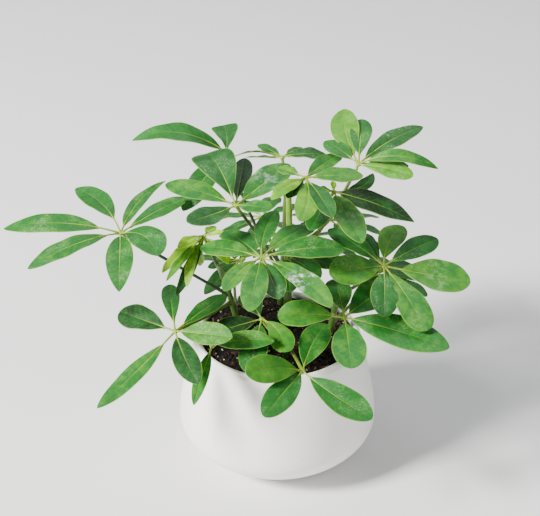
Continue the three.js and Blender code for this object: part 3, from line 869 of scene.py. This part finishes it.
def leaf_stalk(settings):
    """Leaf stalks: juicy, smooth and satin, from dark green on old ones to pale yellow-green."""
    material = new_material("leaf_stalk")
    tone = parts_of(leaf_attribute(material, LEAF_LOOK))["X"]
    streak = speckle(object_place(material), 1.6)
    stops = [(0.0, settings.stalk), (0.5, shade(settings.rib, 0.25)), (1.0, settings.rib)]
    base = ramped(ranged(tone, -1.0, 1.0), stops)
    dark = mixed(0.35, base, (0.0, 0.0, 0.0))
    return finish_material(material, {
        "Base Color": mixed(ranged(streak, 0.35, 0.65, 0.5, 0.0), base, dark),
        "Roughness": 0.42,
        "Subsurface Weight": 0.15,
        "Subsurface Scale": 2.0 * MM,
        "Normal": relief(streak, 0.3, 0.15),
    })


def pale_floor(settings):
    """Matte painted floor: plain, pale and even."""
    material = new_material("matte_floor_paint")
    cloud = speckle(object_place(material), 300)
    return finish_material(material, {
        "Base Color": mixed(cloud, settings.floor, shade(settings.floor, 0.97)),
        "Roughness": 0.7,
        "Specular IOR Level": 0.3,
    })


# Pot

def pot_profile():
    """The pot's outer profile from the foot to the rim, as (radius, height) points."""
    foot = Vector((FOOT_RADIUS, 0))
    belly = Vector((BELLY_RADIUS, BELLY_HEIGHT))
    rim = Vector((RIM_RADIUS, POT_HEIGHT))
    below, above = (belly + Vector((0, step)) for step in BELLY_HANDLES)
    low = interpolate_bezier(foot, foot + Vector(FOOT_HANDLE), below, belly, POT_CURVE_STEPS)
    high = interpolate_bezier(belly, above, rim + Vector(RIM_HANDLE), rim, POT_CURVE_STEPS)
    return [point.to_2d() for point in low + high[1:]]


def inner_profile(inset, floor, top):
    """The wall's inside, a distance in from the outer profile, from the floor up to a height."""
    outer = pot_profile()
    inner = []
    for before, point, after in zip(outer, outer[1:], outer[2:]):
        along = (after - before).normalized()
        moved = Vector((point.x - along.y * inset, point.y + along.x * inset))
        if floor + FLOOR_CORNER_HEIGHT < moved.y < top:
            inner.append(moved)
    corner = inner[0].x - (inner[0].y - floor) * FLOOR_CORNER_SLOPE
    return [Vector((corner, floor)), *inner]


class PLANT_OT_pot(bpy.types.Operator):
    """Model the pot."""

    bl_idname = "plant.pot"
    bl_label = "Pot"

    def execute(self, context):
        settings = context.scene.plant_pot
        lip = settings.wall / 2
        outer = [point for point in pot_profile() if point.y < POT_HEIGHT - lip]
        inner = inner_profile(settings.wall, POT_FLOOR, POT_HEIGHT - lip)
        arc = []
        for step in range(LIP_STEPS + 1):
            turn = math.pi * step / LIP_STEPS
            out, up = lip * math.cos(turn), lip * math.sin(turn)
            arc.append(Vector((RIM_RADIUS - lip + out, POT_HEIGHT - lip + up)))
        under = [Vector((0, 0)), Vector((FOOT_RADIUS - FOOT_RING, 0))]
        bm = spun([*under, *outer, *arc, *reversed(inner), Vector((0, POT_FLOOR))], POT_TURN_STEPS)
        for face in bm.faces:
            if face.calc_center_median().z < BARE_CLAY_HEIGHT:
                face.material_index = 1
        materials = [satin_glaze(settings), bare_clay(settings)]
        finished_piece("stoneware_pot", bm, materials, ["pot"])
        return {"FINISHED"}


# Soil

def soil_height(x, y, edge):
    """Height of the soil's lumpy top at a place."""
    share = min(1.0, math.hypot(x, y) / edge)
    mound = SOIL_MOUND * (1 - share ** 3)
    lumps = noise.fractal(Vector((x, y, 0)) / SOIL_LUMP, *SOIL_LUMP_LAYERS)
    return SOIL_HEIGHT + mound + SOIL_LUMP_HEIGHT * lumps * (1 - share ** 10)


def scatter_lumps(bm, count, lumps, edge, rng):
    """Drops small broken lumps on the soil, each a jittered ball of twenty faces."""
    for _ in range(count):
        radius = (edge - lumps.margin) * math.sqrt(rng.random())
        turn = rng.uniform(0, 2 * math.pi)
        size = rng.uniform(*lumps.sizes)
        x, y = radius * math.cos(turn), radius * math.sin(turn)
        tilt = rng.uniform(-LUMP_TILT, LUMP_TILT), rng.uniform(-LUMP_TILT, LUMP_TILT)
        spin = Quaternion((*tilt, rng.random()), LUMP_TURN * rng.random())
        thick = size * rng.uniform(*lumps.flatness)
        shape = Matrix.Diagonal((size, size * rng.uniform(*LUMP_BREADTH), thick, 1))
        height = soil_height(x, y, edge - lumps.margin) + thick * rng.uniform(*LUMP_RISE)
        made = bmesh.ops.create_icosphere(
            bm, subdivisions=1, radius=1.0,
            matrix=Matrix.Translation((x, y, height)) @ spin.to_matrix().to_4x4() @ shape,
        )
        for vert in made["verts"]:
            vert.co += Vector([rng.uniform(-1, 1) * lumps.jitter * size for _ in range(3)])


class PLANT_OT_soil(bpy.types.Operator):
    """Fill the pot with soil, bark chips and perlite."""

    bl_idname = "plant.soil"
    bl_label = "Soil"

    def execute(self, context):
        settings = context.scene.plant_soil
        rng = random.Random(SEED)
        side = inner_profile(POT_WALL + SOIL_GAP, POT_FLOOR + SOIL_GAP, SOIL_HEIGHT)
        edge = side[-1].x
        top = [
            Vector((edge * (1 - step / SOIL_TOP_STEPS), SOIL_HEIGHT))
            for step in range(1, SOIL_TOP_STEPS + 1)
        ]
        bm = spun([Vector((0, POT_FLOOR + SOIL_GAP)), *side, *top], SOIL_TURN_STEPS)
        for vert in bm.verts:
            if vert.co.z > SOIL_HEIGHT - SOIL_TOP_TOLERANCE:
                vert.co.z = soil_height(vert.co.x, vert.co.y, edge)
        scatter_lumps(bm, settings.crumbs, CRUMBS, edge, rng)
        finished_piece("moist_soil", bm, [moist_peat(settings)], ["soil"])

        for name, count, lumps, material in (
            ("bark_chips", settings.chips, CHIPS, composted_bark),
            ("perlite_grains", settings.grains, GRAINS, expanded_perlite),
        ):
            loose = bmesh.new()
            scatter_lumps(loose, count, lumps, edge, rng)
            finished_piece(name, loose, [material(settings)], [])
        return {"FINISHED"}


# Stems

def stem_points(stem):
    """A stem's start, handle and end."""
    return Vector((*stem.foot, STEM_FOOT_HEIGHT)), Vector(stem.bend), Vector(stem.top)


def stem_place(stem, height):
    """The point on a stem's middle line at a height."""
    points = stem_points(stem)
    low, high = 0.0, 1.0
    for _ in range(STEM_SEARCH_STEPS):
        middle = (low + high) / 2
        if bezier_point(points, middle).z < height:
            low = middle
        else:
            high = middle
    return bezier_point(points, low)


def stem_radius(stem, share):
    """A stem's radius at a share of its length, with a low ring at each node."""
    start, _, end = stem_points(stem)
    nearest = (share * (end - start).length) % STEM_NODE_SPACING - STEM_NODE_SPACING / 2
    ring = STEM_NODE_SWELL * bell(nearest, STEM_NODE_WIDTH)
    plain = stem.radii[0] + (stem.radii[1] - stem.radii[0]) * share
    steepness, end_share = STEM_TOP_ROUNDING
    return plain * (1 + ring) * min(1.0, steepness * math.sqrt(end_share - share))


class PLANT_OT_stems(bpy.types.Operator):
    """Stand the stems in the soil."""

    bl_idname = "plant.stems"
    bl_label = "Stems"

    def execute(self, context):
        rind = green_rind(context.scene.plant_stems)
        for name, stem in STEMS.items():
            bm = bmesh.new()
            path = partial(bezier_point, stem_points(stem))
            rolled_tube(bm, path, partial(stem_radius, stem), STEM_SIDES, STEM_STEPS, 0)
            finished_piece(f"stem_{name}_rind", bm, [rind], [f"stem_{name}"])
        return {"FINISHED"}


# Fronds

def wobble(number):
    """A steady value between -1 and 1 for a whole number."""
    return math.sin(number * 12.9898)


def grown_back_frond(back):
    """A frond behind the others, with evenly spread leaflets."""
    leaflets = []
    for index in range(back.count):
        even = back.first + (back.last - back.first) * index / (back.count - 1)
        leaflets.append((
            even + BACK_SPREAD["bearing"] * wobble(index + back.reach),
            BACK_RISE + BACK_SPREAD["rise"] * wobble(index + 3),
            back.reach * (1 + BACK_SPREAD["reach"] * wobble(index + back.count)),
            BACK_WIDTH * (1 + BACK_SPREAD["width"] * wobble(index + back.at)),
            BACK_BLUNT,
            BACK_STALK,
            BACK_TONE + BACK_SPREAD["tone"] * wobble(index + 5),
        ))
    return Frond(back.hub, back.tilt, back.stem, back.at, back.sag, 0.0, leaflets)


def midrib_of(hub, axis, leaf):
    """A leaflet's midrib as a function of the share of its reach, and the way to its left."""
    ahead = direction(leaf.bearing, leaf.rise)
    up = (axis - ahead * axis.dot(ahead)).normalized()
    up.rotate(Quaternion(ahead, math.radians(leaf.roll)))
    left = up.cross(ahead)

    def midrib(share):
        bow = 4 * share * (1 - share) * leaf.reach
        bent = max(0.0, share - CURL_START) ** 2 * leaf.curl * leaf.reach
        place = hub + ahead * leaf.reach * share + up * (leaf.arch * bow - bent)
        return place + left * leaf.sweep * bow

    return midrib, left


def blade_swell(leaf):
    """Half a blade's width as a function of the share of its length."""
    root_power = ROOT_POWER[0] + ROOT_POWER[1] * leaf.blunt
    tip_power = TIP_POWER[0] + TIP_POWER[1] * leaf.blunt

    def swell(share):
        return share ** root_power * (1 - share) ** tip_power

    widest = swell(root_power / (root_power + tip_power))
    return lambda share: leaf.width / 2 * swell(share) / widest


def blade_ring(midrib, left, start, share, twist):
    """Where a cross-section of a blade lies, its way to the left and the way it faces."""
    place = start + (1 - start) * share
    along = heading(midrib, place)
    side = (left - along * left.dot(along)).normalized()
    side.rotate(Quaternion(along, twist))
    return midrib(place), side, along.cross(side)


def blade_face(bm, layers, hub, axis, leaf, rng):
    """Shapes a grid into one leaflet's upper face. Returns its faces."""
    midrib, left = midrib_of(hub, axis, leaf)
    half_width = blade_swell(leaf)
    start = leaf.stalk / leaf.reach
    seed = rng.random() * 10
    sag = rng.uniform(*BLADE_SAG)
    wave_height = rng.uniform(*WAVE_HEIGHT)
    wave_count = rng.uniform(*WAVE_COUNT)
    phases = rng.uniform(*WAVE_PHASE), rng.uniform(*WAVE_PHASE)
    twist = math.radians(rng.uniform(-BLADE_TWIST, BLADE_TWIST))
    depth, width, fade = RIB_GROOVE

    verts = grid_verts(bm, BLADE_STEPS, BLADE_COLUMNS)
    rings = {}
    for vert in verts:
        step = round((vert.co.x + 1) / 2 * BLADE_STEPS)
        if step not in rings:
            even = step / BLADE_STEPS
            share = STEP_CROWDING[0] * even + STEP_CROWDING[1] * (1 - math.cos(math.pi * even))
            ring = blade_ring(midrib, left, start, share, twist * share)
            rings[step] = share, half_width(share), *ring
        share, half, centre, side, facing = rings[step]
        across = math.copysign(abs(vert.co.y) ** COLUMN_CROWDING, vert.co.y)
        out = half * across
        fold = math.radians(BLADE_FOLD) * (FOLD_FACTOR[0] + FOLD_FACTOR[1] * share)
        phase = phases[0] if across > 0 else phases[1]
        wave = wave_height * math.sin(2 * math.pi * wave_count * share + phase)
        wave *= abs(across) ** 3 * math.sin(math.pi * share)
        groove = depth * (1 - share) ** fade * bell(out, width)
        rise = abs(out) * math.sin(fold) - sag * half * across ** 2 + wave - groove
        vert.co = centre + side * out * math.cos(fold) + facing * rise
        vert[layers["place"]] = ((share * (1 - start)) * leaf.reach, out, share)
        vert[layers["look"]] = (leaf.tone, seed, abs(across))
        vert[layers["limed"]] = leaf.limed
    faces = faces_of(verts)
    bmesh.ops.remove_doubles(bm, verts=verts, dist=MERGE_DISTANCE)
    return [face for face in faces if face.is_valid]


def thicken_blades(bm, layers, faces, thickness):
    """Gives the blades a lower face, and raises the midrib under it."""
    for face in faces:
        face.normal_update()
    upper = {vert for face in faces for vert in face.verts}
    bmesh.ops.solidify(bm, geom=faces, thickness=thickness)
    lower = [vert for vert in bm.verts if vert not in upper]
    bm.normal_update()
    height, width, fade = RIB_RIDGE
    moves = []
    for vert in lower:
        _, out, share = vert[layers["place"]]
        moves.append((vert, vert.normal * (height * (1 - share) ** fade * bell(out, width))))
        vert[layers["under"]] = 1.0
    for vert, move in moves:
        vert.co += move


def set_tone(verts, layers, tone):
    """Gives stalk vertices their tone."""
    for vert in verts:
        vert[layers["look"]] = (tone, 0.0, 0.0)


def petiole_radius(length, share):
    """The radius of a petiole of a length, wide at its foot and a little at the hub."""
    swell = PETIOLE_FOOT_SWELL * math.exp(-share * length / PETIOLE_FOOT_LENGTH)
    neck = PETIOLE_NECK * smooth_step(PETIOLE_NECK_START, 1.0, share)
    return PETIOLE_RADIUS * (PETIOLE_WAIST + swell + neck)


def stalk_radius(joined, share):
    """The radius of a leaflet's stalk, which thins once its blade has joined it."""
    swell = STALK_ROOT_SWELL * math.exp(-share * STALK_ROOT_FADE)
    thinning = STALK_END_THINNING * smooth_step(joined * STALK_THINNING_START, 1.0, share)
    return STALK_RADIUS + swell - thinning


def add_stalks(bm, layers, hub, axis, frond, leaflets):
    """Adds the petiole, the hub and each leaflet's own stalk."""
    foot = stem_place(STEMS[frond.stem], frond.at)
    handle = foot.lerp(hub, 0.5) - Vector((0, 0, frond.sag))
    path = partial(bezier_point, (foot, handle, hub))
    radius = partial(petiole_radius, (hub - foot).length)
    for vert in rolled_tube(bm, path, radius, PETIOLE_SIDES, PETIOLE_STEPS, 1):
        darkened = smooth_step(*PETIOLE_PALE_END, (vert.co - hub).length)
        set_tone([vert], layers, HUB_TONE + (frond.stalk_tone - HUB_TONE) * darkened)

    for leaf in leaflets:
        midrib, _ = midrib_of(hub, axis, leaf)
        end = leaf.stalk / leaf.reach + STALK_OVERLAP
        verts = rolled_tube(
            bm, lambda share, midrib=midrib, end=end: midrib(share * end),
            partial(stalk_radius, leaf.stalk / leaf.reach / end), STALK_SIDES, STALK_STEPS, 1,
        )
        set_tone(verts, layers, HUB_TONE)

    verts = bmesh.ops.create_icosphere(
        bm, subdivisions=2, radius=HUB_RADIUS, matrix=Matrix.Translation(hub)
    )["verts"]
    for vert in verts:
        away = (vert.co - hub).dot(axis)
        vert.co -= axis * away * HUB_FLATTENING
    for face in faces_of(verts):
        face.material_index = 1
    set_tone(verts, layers, HUB_TONE)


def grow_frond(name, frond, materials, thickness):
    """Models one frond: its petiole, hub, stalks and leaflets."""
    rng = random.Random(f"{SEED} {name}")
    hub = Vector(frond.hub)
    axis = direction(frond.tilt[1], 90 - frond.tilt[0])
    bm = bmesh.new()
    layers = {
        "place": bm.verts.layers.float_vector.new(LEAF_PLACE),
        "look": bm.verts.layers.float_vector.new(LEAF_LOOK),
        "under": bm.verts.layers.float.new(LEAF_UNDER),
        "limed": bm.verts.layers.float.new(LEAF_WATER_MARKS_AND_SHEEN),
    }
    leaflets = [Leaflet(*row) for row in frond.leaflets]
    faces = []
    for leaf in leaflets:
        faces.extend(blade_face(bm, layers, hub, axis, leaf, rng))
    thicken_blades(bm, layers, faces, thickness)
    add_stalks(bm, layers, hub, axis, frond, leaflets)
    finished_piece(f"{name}_leaflets", bm, materials, [name])


class PLANT_OT_fronds(bpy.types.Operator):
    """Grow the fronds on the stems."""

    bl_idname = "plant.fronds"
    bl_label = "Fronds"

    def execute(self, context):
        settings = context.scene.plant_leaves
        materials = [leaf_blade(settings), leaf_stalk(settings)]
        fronds = {**FRONDS, **{name: grown_back_frond(back) for name, back in BACK_FRONDS.items()}}
        for name, frond in fronds.items():
            grow_frond(f"frond_{name}", frond, materials, settings.thickness)
        return {"FINISHED"}


# Stage

class PLANT_OT_stage(bpy.types.Operator):
    """Set the floor, the lights and the camera."""

    bl_idname = "plant.stage"
    bl_label = "Stage"

    def execute(self, context):
        settings = context.scene.plant_stage
        scene = context.scene

        bm = bmesh.new()
        bmesh.ops.create_grid(
            bm, x_segments=FLOOR_SEGMENTS, y_segments=FLOOR_SEGMENTS, size=FLOOR_REACH_M
        )
        floor = mesh_object("floor", bm, [pale_floor(settings)])

        for name, light in LIGHTS.items():
            data = bpy.data.lights.new(name, "AREA")
            data.energy = getattr(settings, light.power)
            data.size = light.size
            data.color = light.colour
            lamp = linked_object(name, data)
            lamp.location = light.place
            aim = Vector(light.aim) - Vector(light.place)
            lamp.rotation_euler = aim.to_track_quat("-Z", "Y").to_euler()
        world = bpy.data.worlds.new("soft_room")
        world.use_nodes = True
        background = world.node_tree.nodes["Background"]
        background.inputs["Color"].default_value = SKY_COLOUR
        background.inputs["Strength"].default_value = settings.sky
        scene.world = world

        data = bpy.data.cameras.new("camera")
        data.lens = CAMERA_LENS
        data.sensor_width = CAMERA_SENSOR
        data.clip_start = CAMERA_NEAR_M
        camera = linked_object("camera", data)
        camera.location = Vector(CAMERA_PLACE) * MM
        camera.rotation_euler = (math.radians(90 - CAMERA_PITCH), 0, 0)
        scene.camera = camera
        return {"FINISHED"}


class PLANT_PT_panel(bpy.types.Panel):
    """Buttons for the plant's pieces, and their settings."""

    bl_idname = "PLANT_PT_panel"
    bl_label = "Potted Umbrella Plant"
    bl_space_type = "VIEW_3D"
    bl_region_type = "UI"
    bl_category = "Plant"

    def draw(self, context):
        for operator, name, _ in OPERATORS:
            self.layout.operator(operator.bl_idname)
            settings = getattr(context.scene, name)
            for prop in settings.bl_rna.properties:
                if prop.identifier not in {"rna_type", "name"}:
                    self.layout.prop(settings, prop.identifier)


# Each operator, the name of its settings on the scene, and their group
OPERATORS = (
    (PLANT_OT_stage, "plant_stage", PLANT_PG_stage),
    (PLANT_OT_pot, "plant_pot", PLANT_PG_pot),
    (PLANT_OT_soil, "plant_soil", PLANT_PG_soil),
    (PLANT_OT_stems, "plant_stems", PLANT_PG_stems),
    (PLANT_OT_fronds, "plant_leaves", PLANT_PG_leaves),
)


def register():
    """Adds the plant's operators, settings and panel."""
    for operator, name, group in OPERATORS:
        bpy.utils.register_class(group)
        bpy.utils.register_class(operator)
        setattr(bpy.types.Scene, name, PointerProperty(type=group))
    bpy.utils.register_class(PLANT_PT_panel)


def unregister():
    """Takes them away again."""
    bpy.utils.unregister_class(PLANT_PT_panel)
    for operator, name, group in reversed(OPERATORS):
        delattr(bpy.types.Scene, name)
        bpy.utils.unregister_class(operator)
        bpy.utils.unregister_class(group)


def main():
    register()
    bpy.ops.plant.stage()
    bpy.ops.plant.pot()
    bpy.ops.plant.soil()
    bpy.ops.plant.stems()
    bpy.ops.plant.fronds()


if __name__ == "__main__":
    main()
